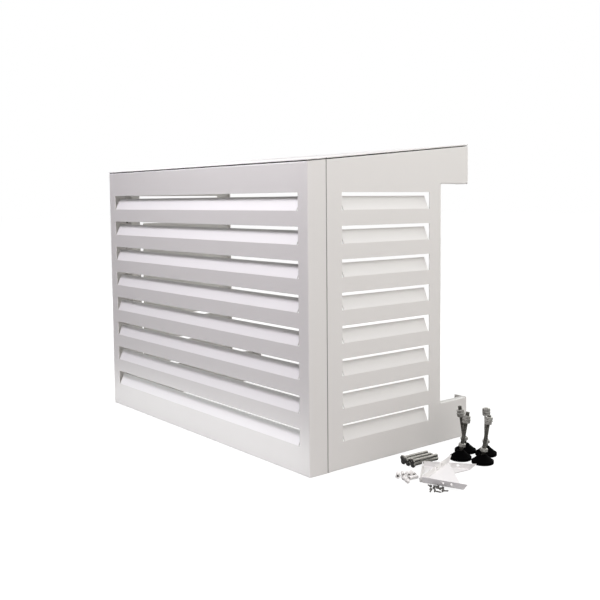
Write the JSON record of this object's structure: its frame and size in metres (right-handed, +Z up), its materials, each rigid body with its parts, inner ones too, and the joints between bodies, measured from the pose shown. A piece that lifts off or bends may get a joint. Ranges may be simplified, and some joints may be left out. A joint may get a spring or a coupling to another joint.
{
  "type": "air conditioner screen",
  "caption": "Louvred sheet-metal screen for an outdoor air-conditioner unit, open to the wall and below, with sloping roof, swivel stud feet and a loose fixing kit.",
  "frame": {"origin": "on the floor, under the middle of the front panel's 15 mm bottom flange", "axes": "+X along the front to the right as seen from outside, +Y from the front to the wall, +Z up"},
  "size_m": [1.3, 0.5574, 0.789],
  "materials": {
    "powder_coat": "satin",
    "zinc_steel": "satin",
    "black_plastic": "satin",
    "white_nylon": "satin",
    "black_steel": "satin"
  },
  "bodies": {
    "screen_and_kit": {"front_panel": "powder_coat", "left_side_panel": "powder_coat", "right_side_panel": "powder_coat", "roof_panel": "powder_coat", "gusset_bracket_lower": "powder_coat", "gusset_bracket_upper": "powder_coat", "seam_screw_1": "zinc_steel", "roof_nut_1": "zinc_steel", "seam_screw_2": "zinc_steel", "roof_nut_2": "zinc_steel", "seam_screw_3": "zinc_steel", "roof_nut_3": "zinc_steel", "seam_screw_4": "zinc_steel", "roof_nut_4": "zinc_steel", "wall_anchor_1": "zinc_steel", "small_screw_1": "black_steel", "wall_anchor_2": "zinc_steel", "small_screw_2": "black_steel", "wall_anchor_3": "zinc_steel", "small_screw_3": "black_steel", "wall_anchor_4": "zinc_steel", "small_screw_4": "black_steel", "wall_anchor_5": "zinc_steel", "small_screw_5": "black_steel", "wall_anchor_6": "zinc_steel", "small_screw_6": "black_steel", "wall_anchor_7": "zinc_steel", "small_screw_7": "black_steel", "wall_anchor_8": "zinc_steel", "small_screw_8": "black_steel", "wall_plug_1": "white_nylon", "wall_plug_2": "white_nylon", "wall_plug_3": "white_nylon", "wall_plug_4": "white_nylon", "wall_plug_5": "white_nylon", "wall_plug_6": "white_nylon", "foot_1_pad": "black_plastic", "foot_2_pad": "black_plastic", "foot_3_pad": "black_plastic", "foot_4_pad": "black_plastic"},
    "foot_1_stud": {"foot_1_stud": "zinc_steel"},
    "foot_1_jam_nut": {"foot_1_jam_nut": "zinc_steel"},
    "foot_1_clamp": {"foot_1_clamp_nut": "zinc_steel", "foot_1_washer": "zinc_steel"},
    "foot_1_top_nut": {"foot_1_top_nut": "zinc_steel"},
    "foot_2_stud": {"foot_2_stud": "zinc_steel"},
    "foot_2_jam_nut": {"foot_2_jam_nut": "zinc_steel"},
    "foot_2_clamp": {"foot_2_clamp_nut": "zinc_steel", "foot_2_washer": "zinc_steel"},
    "foot_2_top_nut": {"foot_2_top_nut": "zinc_steel"},
    "foot_3_stud": {"foot_3_stud": "zinc_steel"},
    "foot_3_jam_nut": {"foot_3_jam_nut": "zinc_steel"},
    "foot_3_clamp": {"foot_3_clamp_nut": "zinc_steel", "foot_3_washer": "zinc_steel"},
    "foot_3_top_nut": {"foot_3_top_nut": "zinc_steel"},
    "foot_4_stud": {"foot_4_stud": "zinc_steel"},
    "foot_4_jam_nut": {"foot_4_jam_nut": "zinc_steel"},
    "foot_4_clamp": {"foot_4_clamp_nut": "zinc_steel", "foot_4_washer": "zinc_steel"},
    "foot_4_top_nut": {"foot_4_top_nut": "zinc_steel"}
  },
  "joints": [
    {"name": "foot_1_tilt", "type": "hinge", "parent": "screen_and_kit", "child": "foot_1_stud", "pos_m": [0.6227, 0.3718, 0.015], "axis": [-0.7782, 0.628, 0], "range_deg": [-24.6, 5.4]},
    {"name": "foot_1_jam_nut_travel", "type": "slide", "parent": "foot_1_stud", "child": "foot_1_jam_nut", "axis": [0.1047, 0.1298, 0.986], "range_m": [0, 0.025]},
    {"name": "foot_1_clamp_travel", "type": "slide", "parent": "foot_1_stud", "child": "foot_1_clamp", "axis": [0.1047, 0.1298, 0.986], "range_m": [-0.028, 0]},
    {"name": "foot_1_top_nut_travel", "type": "slide", "parent": "foot_1_stud", "child": "foot_1_top_nut", "axis": [0.1047, 0.1298, 0.986], "range_m": [0, 0.0085]},
    {"name": "foot_2_tilt", "type": "hinge", "parent": "screen_and_kit", "child": "foot_2_stud", "pos_m": [0.5906, 0.4279, 0.015], "axis": [-0.7782, 0.628, 0], "range_deg": [-6.8, 23.2]},
    {"name": "foot_2_jam_nut_travel", "type": "slide", "parent": "foot_2_stud", "child": "foot_2_jam_nut", "axis": [-0.0896, -0.111, 0.9898], "range_m": [0, 0.025]},
    {"name": "foot_2_clamp_travel", "type": "slide", "parent": "foot_2_stud", "child": "foot_2_clamp", "axis": [-0.0896, -0.111, 0.9898], "range_m": [-0.028, 0]},
    {"name": "foot_2_top_nut_travel", "type": "slide", "parent": "foot_2_stud", "child": "foot_2_top_nut", "axis": [-0.0896, -0.111, 0.9898], "range_m": [0, 0.0085]},
    {"name": "foot_3_tilt", "type": "hinge", "parent": "screen_and_kit", "child": "foot_3_stud", "pos_m": [0.6788, 0.3877, 0.015], "axis": [-0.7782, 0.628, 0], "range_deg": [-23.5, 6.5]},
    {"name": "foot_3_jam_nut_travel", "type": "slide", "parent": "foot_3_stud", "child": "foot_3_jam_nut", "axis": [0.0928, 0.115, 0.989], "range_m": [0, 0.025]},
    {"name": "foot_3_clamp_travel", "type": "slide", "parent": "foot_3_stud", "child": "foot_3_clamp", "axis": [0.0928, 0.115, 0.989], "range_m": [-0.028, 0]},
    {"name": "foot_3_top_nut_travel", "type": "slide", "parent": "foot_3_stud", "child": "foot_3_top_nut", "axis": [0.0928, 0.115, 0.989], "range_m": [0, 0.0085]},
    {"name": "foot_4_tilt", "type": "hinge", "parent": "screen_and_kit", "child": "foot_4_stud", "pos_m": [0.6417, 0.4466, 0.015], "axis": [-0.7782, 0.628, 0], "range_deg": [-15, 15]},
    {"name": "foot_4_jam_nut_travel", "type": "slide", "parent": "foot_4_stud", "child": "foot_4_jam_nut", "axis": [0, 0, 1], "range_m": [0, 0.025]},
    {"name": "foot_4_clamp_travel", "type": "slide", "parent": "foot_4_stud", "child": "foot_4_clamp", "axis": [0, 0, 1], "range_m": [-0.028, 0]},
    {"name": "foot_4_top_nut_travel", "type": "slide", "parent": "foot_4_stud", "child": "foot_4_top_nut", "axis": [0, 0, 1], "range_m": [0, 0.0085]}
  ]
}
